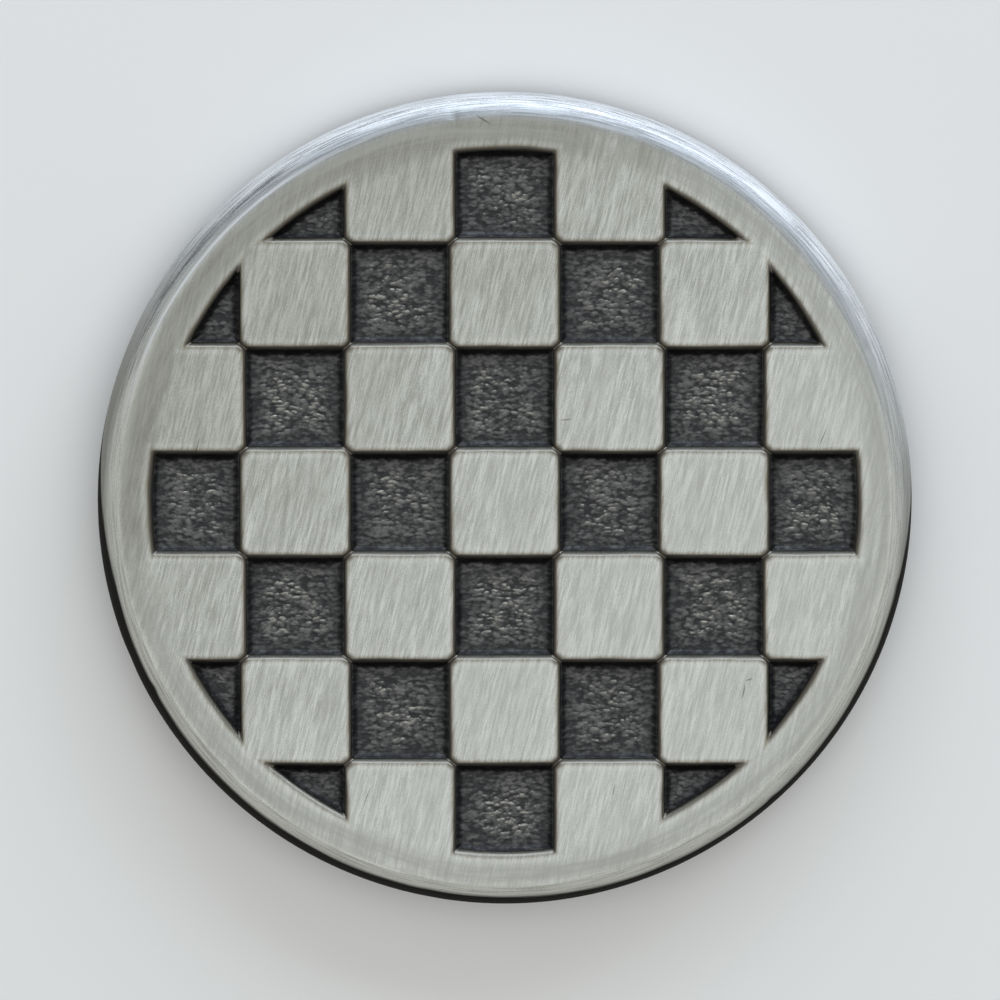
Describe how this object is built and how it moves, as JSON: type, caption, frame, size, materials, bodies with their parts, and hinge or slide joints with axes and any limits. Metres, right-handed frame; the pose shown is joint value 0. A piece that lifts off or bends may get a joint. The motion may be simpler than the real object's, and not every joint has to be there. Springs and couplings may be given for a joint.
{
  "type": "golf ball marker",
  "caption": "Round struck-metal golf ball marker with a chequered board of raised tiles and dark sunk cells on its face, and a steel disc in its back for a magnetic clip.",
  "frame": {"origin": "centre of the plane that the coin rests on, on its axis", "axes": "+Z is the coin's axis and points up out of the chequered face. +Y points to row 1 of the board and -X to its column 1."},
  "size_m": [0.0254, 0.0254, 0.0025],
  "materials": {
    "antiqued_metal": "satin",
    "dark_lacquer": "satin",
    "keeper_steel": "satin",
    "bond_epoxy": "satin"
  },
  "bodies": {
    "root": {"bond_film": "bond_epoxy", "cell_lacquer_r1_c2": "dark_lacquer", "cell_lacquer_r1_c4": "dark_lacquer", "cell_lacquer_r1_c6": "dark_lacquer", "cell_lacquer_r2_c1": "dark_lacquer", "cell_lacquer_r2_c3": "dark_lacquer", "cell_lacquer_r2_c5": "dark_lacquer", "cell_lacquer_r2_c7": "dark_lacquer", "cell_lacquer_r3_c2": "dark_lacquer", "cell_lacquer_r3_c4": "dark_lacquer", "cell_lacquer_r3_c6": "dark_lacquer", "cell_lacquer_r4_c1": "dark_lacquer", "cell_lacquer_r4_c3": "dark_lacquer", "cell_lacquer_r4_c5": "dark_lacquer", "cell_lacquer_r4_c7": "dark_lacquer", "cell_lacquer_r5_c2": "dark_lacquer", "cell_lacquer_r5_c4": "dark_lacquer", "cell_lacquer_r5_c6": "dark_lacquer", "cell_lacquer_r6_c1": "dark_lacquer", "cell_lacquer_r6_c3": "dark_lacquer", "cell_lacquer_r6_c5": "dark_lacquer", "cell_lacquer_r6_c7": "dark_lacquer", "cell_lacquer_r7_c2": "dark_lacquer", "cell_lacquer_r7_c4": "dark_lacquer", "cell_lacquer_r7_c6": "dark_lacquer", "keeper_disc": "keeper_steel", "marker_body": "antiqued_metal"}
  },
  "joints": []
}
